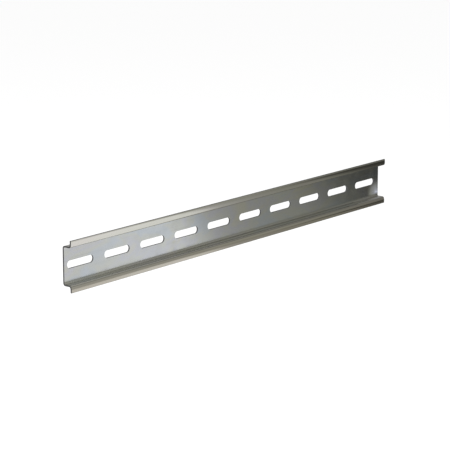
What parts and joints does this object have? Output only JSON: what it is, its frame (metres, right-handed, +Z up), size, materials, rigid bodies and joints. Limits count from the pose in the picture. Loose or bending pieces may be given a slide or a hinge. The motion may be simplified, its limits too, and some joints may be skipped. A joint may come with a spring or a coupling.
{
  "type": "din rail",
  "caption": "Slotted top-hat mounting rail of zinc-plated steel, roll-formed from one strip, that clip-on switchgear and terminal blocks hook onto.",
  "frame": {"origin": "middle of the back face of the web, which lies flat on the panel", "axes": "+X along the rail, +Y into the panel that carries it (the hollow side faces -Y), +Z up, across the height of the section"},
  "size_m": [0.358, 0.0075, 0.035],
  "materials": {
    "zinc_plated_steel": "bright zinc plate, pale blue passivated, satin"
  },
  "bodies": {
    "root": {"top_hat_rail": "zinc_plated_steel"}
  },
  "joints": []
}
